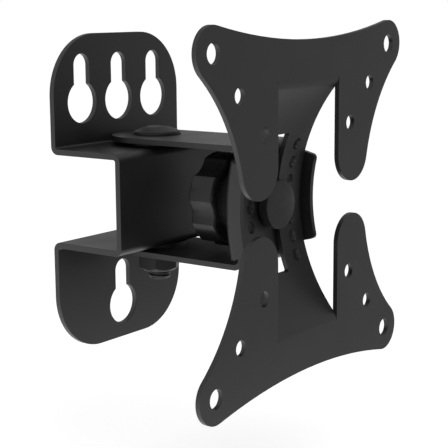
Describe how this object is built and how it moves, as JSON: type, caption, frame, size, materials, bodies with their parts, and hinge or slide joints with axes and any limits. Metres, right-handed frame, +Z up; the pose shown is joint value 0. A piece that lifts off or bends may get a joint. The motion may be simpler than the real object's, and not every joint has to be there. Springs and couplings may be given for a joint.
{
  "type": "articulating monitor wall mount",
  "caption": "Articulating wall mount for a small monitor: a keyhole wall bracket, a swivelling arm and a lobed screen plate that tilts on a curved slotted strip under a clamping knob.",
  "frame": {"origin": "the hanging point: the middle of the round top of the upper flange's middle keyhole, on the wall plane", "axes": "+X to the right when facing the wall, +Y into the wall, +Z up"},
  "size_m": [0.116, 0.0808, 0.116],
  "materials": {
    "powder_coated_steel": "black satin powder coat",
    "blackened_steel": "black zinc, satin",
    "moulded_plastic": "moulded, half matt",
    "nylon": "plain"
  },
  "bodies": {
    "wall": {"wall_bracket": "powder_coated_steel", "upper_friction_washer": "nylon", "lower_friction_washer": "nylon"},
    "arm": {"arm_bracket": "powder_coated_steel", "pivot_bolt": "blackened_steel", "pivot_nut": "blackened_steel", "nut_lock_ring": "nylon", "head_washer": "blackened_steel", "nut_washer": "blackened_steel", "tilt_bolt": "blackened_steel", "tilt_washer": "blackened_steel"},
    "plate": {"screen_plate": "powder_coated_steel"},
    "knob": {"clamp_knob": "moulded_plastic", "knob_insert": "blackened_steel"}
  },
  "joints": [
    {"name": "swivel", "type": "hinge", "parent": "wall", "child": "arm", "pos_m": [0, -0.019, -0.0438], "axis": [0, 0, 1], "range_deg": [-35, 35]},
    {"name": "tilt", "type": "hinge", "parent": "arm", "child": "plate", "pos_m": [0, -0.1239, -0.0438], "axis": [1, 0, 0], "range_deg": [-17, 17]},
    {"name": "knob_turn", "type": "hinge", "parent": "arm", "child": "knob", "pos_m": [0, -0.05, -0.0438], "axis": [0, 1, 0], "range_deg": [0, 360]}
  ]
}
